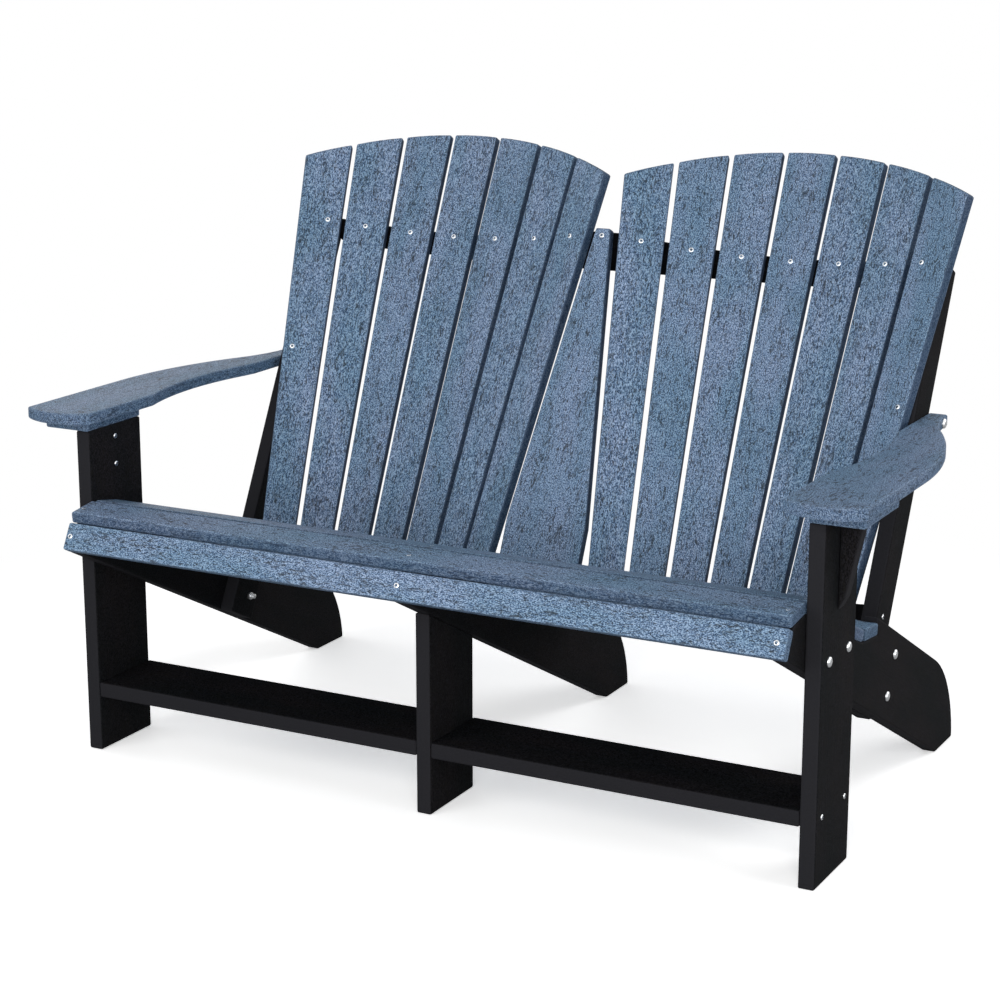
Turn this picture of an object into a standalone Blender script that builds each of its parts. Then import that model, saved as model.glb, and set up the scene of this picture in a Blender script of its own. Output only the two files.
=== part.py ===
"""A fan-back Adirondack loveseat of thick plastic boards.

Black boards make the frame and blue boards the arms, seat and back. X runs along the seat,
Y from front to back and Z up. The stringers, the posts and the rails share one lean: a
leaned place is written as (x, u, v), with u down the stringers to the rear and v up the posts.
"""
import math
from collections import namedtuple

import bmesh
import bpy
from mathutils import Matrix, Vector

# Stock that the boards are cut from
HEAVY_BOARD = 0.0254
LIGHT_BOARD = 0.01905
BACK_BOARD = 0.018
WIDE_BOARD = 0.1397
POST_WIDTH = 0.0698
EDGE_RADIUS = 0.003
NOSE_RADIUS = 0.004
FIT_GAP = 0.0003

# Legs and foot rails
FRAME_WIDTH = 1.284
LEG_HEIGHT = 0.5433
FOOT_RAIL_HEIGHT = 0.0933

# Stringers and apron
LEAN_DEGREES = 27.0
STRINGER_UNDERSIDE_V = 0.2906
STRINGER_HEEL_U = 0.4755
STRINGER_HEEL_RADIUS = 0.200
APRON_FRONT_U = -0.239
APRON_HEIGHT = 0.0448

# Posts, rails and the fans of back slats
POST_REAR_U = 0.2768
POST_TOP_V = 1.0306
UPPER_RAIL_V = 1.0184
LOWER_RAIL_RISE = 0.0177
RAIL_END_TAPER = 0.038
FAN_SLATS_PER_SIDE = 3
SLAT_GAP = 0.0083
SLAT_FRONT_UPPER_U = 0.2459
SLAT_FRONT_LOWER_U = 0.2534
CROWN_V = 1.2095
CROWN_RADIUS = 0.600
SLAT_FOOT_RISE = 0.0032
FILLER_BACK_UPPER_U = 0.1977
FILLER_BACK_LOWER_U = 0.2227
FILLER_SHOULDER_V = 0.520
FILLER_TOP_V = 1.032

# Widths across the back, as shares of half the room between the posts
FAN_CENTRE_SHARE = 0.5632
FAN_RADIUS_SHARE = 1.15
UPPER_PITCH_SHARE = 0.152
LOWER_PITCH_SHARE = 0.1191
FILLER_TOP_SHARE = 0.0240
FILLER_FOOT_SHARE = 0.1300
RAIL_TAPER_SHARE = 0.575
SCALLOP_SHARE = 0.4812

# Seat
SEAT_NOSE_Y = -0.0537
SEAT_NOSE_Z = 0.4041
SEAT_SLAT_WIDTH = 0.05715
SEAT_TILTS = (7.0, -11.0, -22.0, -38.0, -22.0, -6.0)
SEAT_GAPS = (0.0035, 0.012, 0.012, 0.012, 0.0055)
SCALLOP_DEPTH = 0.042

# Arms, cleats and brackets
ARM_INSET = 0.0535
ARM_OVERHANG = 0.071
ARM_FRONT_Y = -0.053
ARM_NOSE_DEPTH = 0.022
ARM_SCOOP_START_Y = 0.140
ARM_SCOOP_END_Y = 0.450
ARM_SCOOP_DEPTH = 0.0225
ARM_TAPER_START_Y = 0.215
ARM_TAIL_INSET = 0.020
ARM_TAIL_REACH = 0.0016
ARM_TAIL_LENGTH = 0.004
ARM_BULGE_SHARE = 0.7
CLEAT_OVERHANG = 0.058
CLEAT_LIP = 0.003
BRACKET_REACH = 0.036
BRACKET_HEIGHT = 0.139
BRACKET_TIP_HEIGHT = 0.020
BRACKET_TIP_REACH = 0.0105

# Bolts, nuts and the screws that join the outermost slats to the posts
BOLT_RADIUS = 0.004
BOLT_HEAD_RADIUS = 0.008
BOLT_HEAD_HEIGHT = 0.004
BOLT_TAIL = 0.006
NUT_RADIUS = 0.0072
NUT_HEIGHT = 0.0065
NUT_SIDES = 6
BOLT_SIDES = 12
LEG_BOLT_Z = 0.337
LEG_BOLT_SPACING = 0.080
POST_BOLT_U = 0.250
POST_BOLT_VS = (0.328, 0.395)
ARM_BOLT_SETBACK = 0.027
ARM_BOLT_LENGTH = 0.050
SCREW_RADIUS = 0.0025
SCREW_HEAD_RADIUS = 0.0045
SCREW_HEAD_HEIGHT = 0.002
SCREW_LENGTH = 0.045
POST_SCREW_V = 0.778
POST_SCREW_INSET = -0.0030

# Smoothness of the round stretches
ARC_STEPS = 12
CROWN_STEPS = 4
EDGE_STEPS = 2
SMOOTH_DEGREES = 40

# Finishes: red, green, blue and roughness
BLUE_FINISH = (0.155, 0.215, 0.315, 0.62)
BLACK_FINISH = (0.016, 0.016, 0.019, 0.55)
STEEL_FINISH = (0.62, 0.62, 0.62, 0.3)

# Places that follow from the sizes above
LEAN = math.radians(LEAN_DEGREES)
LEAN_TURN = Matrix.Rotation(-LEAN, 4, "X")
LEG_OUTER_X = FRAME_WIDTH / 2
LEG_INNER_X = LEG_OUTER_X - HEAVY_BOARD
STRINGER_OUTER_X = LEG_INNER_X - FIT_GAP
STRINGER_INNER_X = STRINGER_OUTER_X - HEAVY_BOARD
POST_OUTER_X = STRINGER_INNER_X - FIT_GAP
POST_INNER_X = POST_OUTER_X - HEAVY_BOARD
RAIL_END_X = POST_INNER_X - FIT_GAP
STRINGER_TOP_V = STRINGER_UNDERSIDE_V + WIDE_BOARD
STRINGER_FRONT_U = APRON_FRONT_U + LIGHT_BOARD + FIT_GAP
POST_FRONT_U = POST_REAR_U - POST_WIDTH
LOWER_RAIL_V = STRINGER_TOP_V + LOWER_RAIL_RISE
SLAT_FOOT_V = STRINGER_TOP_V + SLAT_FOOT_RISE
LEG_MIDDLE_Y = WIDE_BOARD / 2
CLEAT_BASE_Z = LEG_HEIGHT + FIT_GAP
ARM_BASE_Z = CLEAT_BASE_Z + LIGHT_BOARD + FIT_GAP
ARM_MIDDLE_Z = ARM_BASE_Z + LIGHT_BOARD / 2
ARM_INNER_X = LEG_OUTER_X - ARM_INSET
ARM_OUTER_X = LEG_OUTER_X + ARM_OVERHANG
ARM_TAIL_X = LEG_OUTER_X - ARM_TAIL_INSET
ARM_REAR_Y = POST_REAR_U / math.cos(LEAN) + ARM_MIDDLE_Z * math.tan(LEAN) + ARM_TAIL_REACH
ARM_TAPER_END_Y = ARM_REAR_Y - ARM_TAIL_LENGTH
ARM_BOLT_Y = ARM_REAR_Y - ARM_BOLT_SETBACK
CLEAT_OUTER_X = LEG_OUTER_X + CLEAT_OVERHANG
FAN_CENTRE_X = POST_INNER_X * FAN_CENTRE_SHARE
FAN_RADIUS = POST_INNER_X * FAN_RADIUS_SHARE
UPPER_PITCH = POST_INNER_X * UPPER_PITCH_SHARE
LOWER_PITCH = POST_INNER_X * LOWER_PITCH_SHARE
FILLER_TOP_HALF = POST_INNER_X * FILLER_TOP_SHARE
FILLER_FOOT_HALF = POST_INNER_X * FILLER_FOOT_SHARE
RAIL_TAPER_START_X = POST_INNER_X * RAIL_TAPER_SHARE
SCALLOP_HALF = POST_INNER_X * SCALLOP_SHARE
SIDES = {"left": -1, "right": 1}

Fixing = namedtuple("Fixing", "head outward length radius rim crown")
Slope = namedtuple("Slope", "start along rise")


def clear_scene():
    """Remove whatever the scene already holds."""
    for item in list(bpy.data.objects):
        bpy.data.objects.remove(item, do_unlink=True)


def lumber(name, finish, metallic=0.0):
    """Make one plain material."""
    red, green, blue, roughness = finish
    material = bpy.data.materials.new(name)
    material.use_nodes = True
    shader = material.node_tree.nodes["Principled BSDF"]
    shader.inputs["Base Color"].default_value = (red, green, blue, 1.0)
    shader.inputs["Roughness"].default_value = roughness
    shader.inputs["Metallic"].default_value = metallic
    return material


def leaned(x, u, v):
    """Turn a place in the leaned frame into one in the world."""
    return LEAN_TURN @ Vector((x, u, v))


def placement(origin, across, along):
    """Frame a board: its outline lies in across and along, its thickness stands on them."""
    side = across.normalized()
    normal = side.cross(along).normalized()
    forward = normal.cross(side)
    columns = Matrix((side, forward, normal)).transposed().to_4x4()
    columns.translation = origin
    return columns


def meet(first, first_way, second, second_way):
    """Return the point where two flat lines cross."""
    cross = first_way.x * second_way.y - first_way.y * second_way.x
    offset = second - first
    share = (offset.x * second_way.y - offset.y * second_way.x) / cross
    return first + first_way * share


def arc(centre, radius, start, end, steps=ARC_STEPS):
    """List the points of an arc, ends included, with angles in radians."""
    angles = [start + (end - start) * step / steps for step in range(steps + 1)]
    return [centre + Vector((math.cos(angle), math.sin(angle))) * radius for angle in angles]


def chord_radius(half_chord, rise):
    """Return the radius of an arc from half its chord and its rise."""
    return (half_chord**2 + rise**2) / (2 * rise)


def add_mesh(name, mesh_data, matrix, material):
    """Close a bmesh into a named object with one material."""
    bmesh.ops.recalc_face_normals(mesh_data, faces=mesh_data.faces)
    mesh = bpy.data.meshes.new(name)
    mesh_data.to_mesh(mesh)
    mesh_data.free()
    mesh.materials.append(material)
    item = bpy.data.objects.new(name, mesh)
    item.matrix_world = matrix
    bpy.context.collection.objects.link(item)
    return item


def settle(item):
    """Replace an object's mesh with the one that its modifiers make."""
    evaluated = item.evaluated_get(bpy.context.evaluated_depsgraph_get())
    mesh = bpy.data.meshes.new_from_object(evaluated)
    item.modifiers.clear()
    item.data = mesh


def subtract(item, cutter):
    """Cut one object with another, then throw the cutter away."""
    modifier = item.modifiers.new("cut", "BOOLEAN")
    modifier.operation = "DIFFERENCE"
    modifier.object = cutter
    settle(item)
    bpy.data.objects.remove(cutter, do_unlink=True)


def slab(outline, far_outline, thickness):
    """Join two outlines of equal count with a face at each end."""
    mesh_data = bmesh.new()
    near = [mesh_data.verts.new((point.x, point.y, 0)) for point in outline]
    far = [mesh_data.verts.new((point.x, point.y, thickness)) for point in far_outline]
    mesh_data.faces.new(near)
    mesh_data.faces.new(far)
    bridge(mesh_data, near, far)
    return mesh_data


def board(name, outline, thickness, matrix, material, edge=EDGE_RADIUS, far_outline=None):
    """Make a board from a flat outline and ease its edges."""
    mesh_data = slab(outline, far_outline or outline, thickness)
    item = add_mesh(name, mesh_data, matrix, material)
    rounding = item.modifiers.new("eased edges", "BEVEL")
    rounding.width = edge
    rounding.segments = EDGE_STEPS
    rounding.limit_method = "ANGLE"
    settle(item)
    return item


def turned(profile, sides):
    """Turn a (radius, height) profile, from its foot up, into rings of a new bmesh."""
    mesh_data = bmesh.new()
    rings = []
    for radius, height in profile:
        angles = [math.tau * step / sides for step in range(sides)]
        places = [(radius * math.cos(angle), radius * math.sin(angle), height) for angle in angles]
        rings.append([mesh_data.verts.new(place) for place in places])
    for low, high in zip(rings, rings[1:]):
        bridge(mesh_data, low, high)
    return mesh_data, rings


def bridge(mesh_data, low, high):
    """Join two rings of equal count with faces."""
    for step, corner in enumerate(low):
        before = step - 1
        mesh_data.faces.new((low[before], corner, high[step], high[before]))


def turned_solid(profile, sides):
    """Turn a solid with flat ends."""
    mesh_data, rings = turned(profile, sides)
    mesh_data.faces.new(rings[0])
    mesh_data.faces.new(rings[-1])
    return mesh_data


def aim(fixing):
    """Frame a fixing: its head is at the origin and its height runs out of the board."""
    turn = fixing.outward.to_track_quat("Z", "Y").to_matrix().to_4x4()
    return Matrix.Translation(fixing.head) @ turn


def drill(item, fixings):
    """Cut a clear hole for each fixing that enters a board."""
    for fixing in fixings:
        radius = fixing.radius + FIT_GAP
        profile = [(radius, -fixing.length - FIT_GAP), (radius, BOLT_HEAD_RADIUS)]
        hole = turned_solid(profile, BOLT_SIDES)
        subtract(item, add_mesh("cutter", hole, aim(fixing), item.active_material))


def bolt(side, spot, length):
    """Place a bolt whose head looks out to one side."""
    return Fixing(spot, Vector((side, 0, 0)), length, BOLT_RADIUS, BOLT_HEAD_RADIUS, BOLT_HEAD_HEIGHT)


def make_headed(name, fixing, steel):
    """Make a bolt or screw with a domed head, shaded smooth."""
    shoulder = FIT_GAP + fixing.crown / 2
    profile = [(fixing.radius, -fixing.length), (fixing.radius, FIT_GAP), (fixing.rim, FIT_GAP),
               (fixing.rim - fixing.crown / 2, shoulder), (fixing.rim / 2, FIT_GAP + fixing.crown)]
    item = add_mesh(name, turned_solid(profile, BOLT_SIDES), aim(fixing), steel)
    item.data.shade_smooth()
    item.data.set_sharp_from_angle(angle=math.radians(SMOOTH_DEGREES))


def make_nut(name, fixing, steel):
    """Slip a hexagonal nut over the tail of a bolt that holds two boards."""
    seat = 2 * HEAVY_BOARD + 2 * FIT_GAP
    bore = (fixing.radius + FIT_GAP) / math.cos(math.pi / NUT_SIDES)
    profile = [(NUT_RADIUS, 0), (NUT_RADIUS, NUT_HEIGHT), (bore, NUT_HEIGHT), (bore, 0)]
    mesh_data, rings = turned(profile, NUT_SIDES)
    bridge(mesh_data, rings[-1], rings[0])
    place = aim(fixing) @ Matrix.Translation((0, 0, -seat - NUT_HEIGHT))
    add_mesh(name, mesh_data, place, steel)


def rectangle(width, height, x=0.0, y=0.0):
    """Outline a rectangle from its lower left corner."""
    low = Vector((x, y))
    return [low, low + Vector((width, 0)), low + Vector((width, height)), low + Vector((0, height))]


def side_frame(x):
    """Frame an upright board that lies along Y, from its face nearest -X."""
    return placement(Vector((x, 0, 0)), Vector((0, 1, 0)), Vector((0, 0, 1)))


def lean_frame(x):
    """Frame an upright board in the lean, from its face nearest -X."""
    return placement(Vector((x, 0, 0)), leaned(0, 1, 0), leaned(0, 0, 1))


def lower_x(side, inner, outer):
    """Return the face nearest -X of a board on one side."""
    return inner if side > 0 else -outer


def underside_z(y):
    """Return the height of the stringers' underside."""
    return (STRINGER_UNDERSIDE_V - y * math.sin(LEAN)) / math.cos(LEAN)


def seat_slopes():
    """Chain the seat slats from the nose to the rear: each is its underside's place and run."""
    slopes = []
    turns = [math.radians(degrees) for degrees in SEAT_TILTS]
    ways = [Vector((math.cos(turn), math.sin(turn))) for turn in turns]
    start = Vector((SEAT_NOSE_Y, SEAT_NOSE_Z))
    for index, along in enumerate(ways):
        rise = along.orthogonal()
        slopes.append(Slope(start, along, rise))
        if index == len(SEAT_GAPS):
            break
        following = ways[index + 1]
        pinch = LIGHT_BOARD * max(0, math.sin(turns[index] - turns[index + 1]))
        top = start + rise * LIGHT_BOARD + along * SEAT_SLAT_WIDTH
        top += following * (SEAT_GAPS[index] + pinch)
        start = top - following.orthogonal() * LIGHT_BOARD
    return slopes


def stringer_outline(slopes):
    """Outline a stringer in Y and Z: a leaned board cut to the seat, with a round heel."""
    down = Vector((math.cos(LEAN), -math.sin(LEAN)))
    up = Vector((math.sin(LEAN), math.cos(LEAN)))
    level = Vector((1, 0))
    ground = Vector((0, 0))
    heel = down * STRINGER_HEEL_U + up * (STRINGER_TOP_V - STRINGER_HEEL_RADIUS)
    low = -math.asin(heel.y / STRINGER_HEEL_RADIUS)
    high = math.pi / 2 - LEAN
    front = down * STRINGER_FRONT_U
    lines = [(front, up)]
    lines += [(slope.start - slope.rise * FIT_GAP, slope.along) for slope in slopes]
    rear = slopes[-1]
    lines.append((rear.start + rear.along * (SEAT_SLAT_WIDTH + FIT_GAP), rear.rise))
    lines.append((up * STRINGER_TOP_V, down))
    seat = [meet(*line, *following) for line, following in zip(lines, lines[1:])]
    toe = meet(up * STRINGER_UNDERSIDE_V, down, ground, level)
    chin = meet(up * STRINGER_UNDERSIDE_V, down, front, up)
    return [chin, toe] + arc(heel, STRINGER_HEEL_RADIUS, low, high) + list(reversed(seat))


def share_between_rails(v):
    """Return how far up from the lower rail to the upper one a level is."""
    return (v - LOWER_RAIL_V) / (UPPER_RAIL_V - LOWER_RAIL_V)


def blend(low, high, share):
    """Return the value part of the way from one to another."""
    return low + (high - low) * share


def fan_pitch(v):
    """Return the spacing of a fan's slats at a level."""
    return blend(LOWER_PITCH, UPPER_PITCH, share_between_rails(v))


def fan_angle(place):
    """Return how far a slat is turned round its fan, with 0 at the middle slat."""
    return place * UPPER_PITCH / FAN_RADIUS


def fan_point(place, v):
    """Return the middle of a slat's front face, with x from the middle of its fan."""
    radius = FAN_RADIUS * fan_pitch(v) / UPPER_PITCH
    angle = fan_angle(place)
    front = blend(SLAT_FRONT_LOWER_U, SLAT_FRONT_UPPER_U, share_between_rails(v))
    return Vector((radius * math.sin(angle), front - radius * (1 - math.cos(angle)), v))


def slat_axes(place):
    """Return a slat's directions in the lean: across, along and out of its front."""
    along = (fan_point(place, UPPER_RAIL_V) - fan_point(place, LOWER_RAIL_V)).normalized()
    angle = fan_angle(place)
    level = Vector((math.cos(angle), -math.sin(angle), 0))
    front = level.cross(along).normalized()
    return along.cross(front), along, front


def slat_half_width(v):
    """Return half a back slat's width at a level."""
    return (fan_pitch(v) - SLAT_GAP) / 2


def crown_v(x):
    """Return the level of the fan's round top, with x from its middle."""
    return CROWN_V - CROWN_RADIUS + math.sqrt(CROWN_RADIUS**2 - x**2)


def slat_outline(place, margin=0.0):
    """Outline a back slat, with its tapered sides and its piece of the round top."""
    across, along, front = slat_axes(place)
    foot = fan_point(place, SLAT_FOOT_V)
    half_foot = slat_half_width(SLAT_FOOT_V) + margin
    half_top = slat_half_width(CROWN_V) + margin
    length = CROWN_V - SLAT_FOOT_V
    spread = (half_top - half_foot) / length
    top = []
    for step in range(CROWN_STEPS + 1):
        reach = 1 - 2 * step / CROWN_STEPS
        run = length
        for trial in range(ARC_STEPS):
            side = reach * (half_foot + spread * run)
            point = foot + across * side + along * run
            run += (crown_v(point.x) - point.z) / along.z
        top.append(Vector((side, run + margin)))
    return [Vector((-half_foot, -margin)), Vector((half_foot, -margin))] + top


def slat_frame(side, place, depth):
    """Frame a back slat a given depth behind its front face."""
    across, along, front = slat_axes(place)
    foot = fan_point(place, SLAT_FOOT_V) - front * depth
    foot.x += side * FAN_CENTRE_X
    return placement(leaned(*foot), leaned(*across), leaned(*along))


def filler_back_u(v):
    """Return where the filler slat's back lies at a level."""
    return blend(FILLER_BACK_LOWER_U, FILLER_BACK_UPPER_U, share_between_rails(v))


def rail_front(v):
    """List the front edge of a rail at a level, one flat for each slat, from -X to +X."""
    lines = [(Vector((0, filler_back_u(v) + FIT_GAP)), Vector((1, 0)))]
    for place in range(-FAN_SLATS_PER_SIDE, FAN_SLATS_PER_SIDE + 1):
        angle = fan_angle(place)
        inward = Vector((math.sin(angle), math.cos(angle), 0))
        front = slat_axes(place)[2]
        back = fan_point(place, v) + inward * (BACK_BOARD + FIT_GAP) / -front.dot(inward)
        lines.append((Vector((back.x + FAN_CENTRE_X, back.y)), Vector((math.cos(angle), -math.sin(angle)))))
    lines.append((Vector((RAIL_END_X, 0)), Vector((0, 1))))
    right = [meet(*line, *following) for line, following in zip(lines, lines[1:])]
    left = [Vector((-point.x, point.y)) for point in reversed(right)]
    return left + right


def rail_outline(v, depth):
    """Outline a back rail at a level: a board with one edge fitted to the fans."""
    rear = filler_back_u(v) + depth
    end = rear - RAIL_END_TAPER
    back = [Vector((RAIL_END_X, end)), Vector((RAIL_TAPER_START_X, rear)),
            Vector((-RAIL_TAPER_START_X, rear)), Vector((-RAIL_END_X, end))]
    return rail_front(v) + back


def rail(name, v, material):
    """Make a back rail round a level."""
    low = v - HEAVY_BOARD / 2
    high = v + HEAVY_BOARD / 2
    frame = placement(leaned(0, 0, low), Vector((1, 0, 0)), leaned(0, 1, 0))
    near = rail_outline(low, WIDE_BOARD)
    return board(name, near, HEAVY_BOARD, frame, material, far_outline=rail_outline(high, WIDE_BOARD))


def rear_seat_outline():
    """Outline the rear seat slat, whose back edge follows the two fans."""
    end = STRINGER_OUTER_X
    radius = chord_radius(SCALLOP_HALF, SCALLOP_DEPTH)
    half_angle = math.asin(SCALLOP_HALF / radius)
    centre_y = SEAT_SLAT_WIDTH + SCALLOP_DEPTH - radius
    outline = [Vector((-end, 0)), Vector((end, 0)), Vector((end, SEAT_SLAT_WIDTH))]
    for centre_x in (FAN_CENTRE_X, -FAN_CENTRE_X):
        centre = Vector((centre_x, centre_y))
        start = math.pi / 2 - half_angle
        outline += arc(centre, radius, start, math.pi - start)
    outline.append(Vector((-end, SEAT_SLAT_WIDTH)))
    return outline


def taper_turn():
    """Return the two radii of the arm's outer side, out then back, and how far each turns."""
    drop = ARM_OUTER_X - ARM_TAIL_X
    run = ARM_TAPER_END_Y - ARM_TAPER_START_Y
    turn = 2 * math.atan(drop / run)
    total = run / math.sin(turn)
    return total * ARM_BULGE_SHARE, total * (1 - ARM_BULGE_SHARE), turn


def arm_outline(side):
    """Outline an arm seen from above: a bowed nose, a scooped inner side and a tapered tail."""
    width = ARM_OUTER_X - ARM_INNER_X
    nose_radius = chord_radius(width / 2, ARM_NOSE_DEPTH)
    nose_angle = math.asin(width / 2 / nose_radius)
    nose = Vector((ARM_INNER_X + width / 2, ARM_FRONT_Y + nose_radius))
    down = -math.pi / 2
    points = arc(nose, nose_radius, down - nose_angle, down + nose_angle)
    bulge, hollow, turn = taper_turn()
    points += arc(Vector((ARM_OUTER_X - bulge, ARM_TAPER_START_Y)), bulge, 0, turn)
    points += arc(Vector((ARM_TAIL_X + hollow, ARM_TAPER_END_Y)), hollow, math.pi + turn, math.pi)[1:]
    post_side = POST_OUTER_X + FIT_GAP
    points += [Vector((ARM_TAIL_X, ARM_REAR_Y)), Vector((post_side, ARM_REAR_Y))]
    half_scoop = (ARM_SCOOP_END_Y - ARM_SCOOP_START_Y) / 2
    scoop_radius = chord_radius(half_scoop, ARM_SCOOP_DEPTH)
    scoop_angle = math.asin(half_scoop / scoop_radius)
    scoop = Vector((ARM_INNER_X + ARM_SCOOP_DEPTH - scoop_radius, ARM_SCOOP_START_Y + half_scoop))
    points.append(Vector((post_side, ARM_SCOOP_END_Y)))
    points += arc(scoop, scoop_radius, scoop_angle, -scoop_angle)[1:]
    return [Vector((side * point.x, point.y)) for point in points]


def bracket_outline(side):
    """Outline a bracket: a tall triangle with a blunt tip, flat against the leg."""
    leg = LEG_OUTER_X + FIT_GAP
    top = LEG_HEIGHT
    tip = top - BRACKET_HEIGHT
    points = [(leg, tip), (leg + BRACKET_TIP_REACH, tip + BRACKET_TIP_HEIGHT),
              (leg + BRACKET_REACH, top), (leg, top)]
    return [Vector((side * x, z)) for x, z in points]


def make_legs(fixings, black):
    """Stand the outer legs on the ground and the centre leg under its stringer."""
    for word, side in SIDES.items():
        frame = side_frame(lower_x(side, LEG_INNER_X, LEG_OUTER_X))
        leg = board("front_leg_" + word, rectangle(WIDE_BOARD, LEG_HEIGHT), HEAVY_BOARD, frame, black)
        drill(leg, fixings["leg_bolt_" + word])
    relief = FIT_GAP / math.cos(LEAN)
    outline = [Vector((0, 0)), Vector((WIDE_BOARD, 0)),
               Vector((WIDE_BOARD, underside_z(WIDE_BOARD) - relief)), Vector((0, underside_z(0) - relief))]
    board("centre_leg", outline, HEAVY_BOARD, side_frame(-HEAVY_BOARD / 2), black)


def make_foot_rails(black):
    """Lay a flat rail between each outer leg and the centre leg."""
    inner = HEAVY_BOARD / 2 + FIT_GAP
    outer = LEG_INNER_X - FIT_GAP
    for word, side in SIDES.items():
        frame = placement(Vector((lower_x(side, inner, outer), 0, FOOT_RAIL_HEIGHT)),
                          Vector((1, 0, 0)), Vector((0, 1, 0)))
        board("foot_rail_" + word, rectangle(outer - inner, WIDE_BOARD), HEAVY_BOARD, frame, black)


def make_stringers(slopes, fixings, black):
    """Cut the three stringers alike and drill the outer two for their bolts."""
    outline = stringer_outline(slopes)
    for word, side in SIDES.items():
        frame = side_frame(lower_x(side, STRINGER_INNER_X, STRINGER_OUTER_X))
        item = board("stringer_" + word, outline, HEAVY_BOARD, frame, black)
        drill(item, fixings["leg_bolt_" + word] + fixings["post_bolt_" + word])
    board("stringer_centre", outline, HEAVY_BOARD, side_frame(-HEAVY_BOARD / 2), black)


def slat_pocket(side, material):
    """Shape the room that an outermost back slat needs in the post behind it."""
    place = side * FAN_SLATS_PER_SIDE
    frame = slat_frame(side, place, BACK_BOARD + FIT_GAP)
    outline = slat_outline(place, FIT_GAP)
    thickness = BACK_BOARD + POST_WIDTH
    return add_mesh("cutter", slab(outline, outline, thickness), frame, material)


def make_posts(fixings, black):
    """Raise a post inside each outer stringer, notched for the slat that crosses it."""
    height = POST_TOP_V - STRINGER_UNDERSIDE_V
    for word, side in SIDES.items():
        frame = lean_frame(lower_x(side, POST_INNER_X, POST_OUTER_X))
        outline = rectangle(POST_WIDTH, height, POST_FRONT_U, STRINGER_UNDERSIDE_V)
        post = board("back_post_" + word, outline, HEAVY_BOARD, frame, black)
        subtract(post, slat_pocket(side, black))
        for kind in ("post_bolt_", "arm_bolt_", "post_screw_"):
            drill(post, fixings[kind + word])


def make_apron(blue):
    """Close the front of the stringers with a narrow board."""
    frame = placement(leaned(0, STRINGER_FRONT_U - FIT_GAP, 0), Vector((1, 0, 0)), leaned(0, 0, 1))
    outline = rectangle(STRINGER_OUTER_X * 2, APRON_HEIGHT, -STRINGER_OUTER_X, STRINGER_UNDERSIDE_V)
    board("front_apron", outline, LIGHT_BOARD, frame, blue)


def make_seat(slopes, blue):
    """Lay the seat slats across the three stringers."""
    plain = rectangle(STRINGER_OUTER_X * 2, SEAT_SLAT_WIDTH, -STRINGER_OUTER_X)
    for index, slope in enumerate(slopes):
        last = index == len(slopes) - 1
        outline = rear_seat_outline() if last else plain
        frame = placement(Vector((0, *slope.start)), Vector((1, 0, 0)), Vector((0, *slope.along)))
        edge = EDGE_RADIUS if index else NOSE_RADIUS
        board(f"seat_slat_{index + 1}", outline, LIGHT_BOARD, frame, blue, edge)


def make_back(fixings, blue):
    """Stand the two fans of back slats and the filler slat between them."""
    count = FAN_SLATS_PER_SIDE
    for word, side in SIDES.items():
        for place in range(-count, count + 1):
            frame = slat_frame(side, place, BACK_BOARD)
            name = f"back_slat_{word}_{place + count + 1}"
            slat = board(name, slat_outline(place), BACK_BOARD, frame, blue)
            if place == side * count:
                drill(slat, fixings["post_screw_" + word])
    foot = Vector((0, filler_back_u(SLAT_FOOT_V), SLAT_FOOT_V))
    top = Vector((0, filler_back_u(FILLER_TOP_V), FILLER_TOP_V))
    height = (top - foot).length
    shoulder = height * (FILLER_SHOULDER_V - SLAT_FOOT_V) / (FILLER_TOP_V - SLAT_FOOT_V)
    right = [Vector((FILLER_FOOT_HALF, 0)), Vector((FILLER_FOOT_HALF, shoulder)),
             Vector((FILLER_TOP_HALF, height))]
    outline = right + [Vector((-point.x, point.y)) for point in reversed(right)]
    frame = placement(leaned(*foot), Vector((1, 0, 0)), leaned(*top) - leaned(*foot))
    board("back_slat_filler", outline, BACK_BOARD, frame, blue)


def make_arms(fixings, blue, black):
    """Lay each arm on its cleat and brace the cleat with a bracket."""
    for word, side in SIDES.items():
        level = placement(Vector((0, 0, ARM_BASE_Z)), Vector((1, 0, 0)), Vector((0, 1, 0)))
        arm = board("arm_" + word, arm_outline(side), LIGHT_BOARD, level, blue)
        drill(arm, fixings["arm_bolt_" + word])
        cleat_x = lower_x(side, LEG_INNER_X, CLEAT_OUTER_X)
        base = placement(Vector((cleat_x, -CLEAT_LIP, CLEAT_BASE_Z)), Vector((1, 0, 0)), Vector((0, 1, 0)))
        outline = rectangle(CLEAT_OUTER_X - LEG_INNER_X, WIDE_BOARD + CLEAT_LIP)
        board("arm_cleat_" + word, outline, LIGHT_BOARD, base, blue)
        face_y = LEG_MIDDLE_Y + HEAVY_BOARD / 2
        upright = placement(Vector((0, face_y, 0)), Vector((1, 0, 0)), Vector((0, 0, 1)))
        board("arm_bracket_" + word, bracket_outline(side), HEAVY_BOARD, upright, black)


def plan_fixings():
    """Place every bolt and screw by the boards that it joins."""
    plan = {}
    length = 2 * HEAVY_BOARD + 2 * FIT_GAP + NUT_HEIGHT + BOLT_TAIL
    reach = LEG_BOLT_SPACING / 2
    for word, side in SIDES.items():
        leg_ys = (LEG_MIDDLE_Y - reach, LEG_MIDDLE_Y + reach)
        leg_spots = [Vector((side * LEG_OUTER_X, y, LEG_BOLT_Z)) for y in leg_ys]
        post_spots = [leaned(side * STRINGER_OUTER_X, POST_BOLT_U, v) for v in POST_BOLT_VS]
        plan["leg_bolt_" + word] = [bolt(side, spot, length) for spot in leg_spots]
        plan["post_bolt_" + word] = [bolt(side, spot, length) for spot in post_spots]
        plan["arm_bolt_" + word] = [arm_bolt(side)]
        plan["post_screw_" + word] = [post_screw(side)]
    return plan


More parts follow.
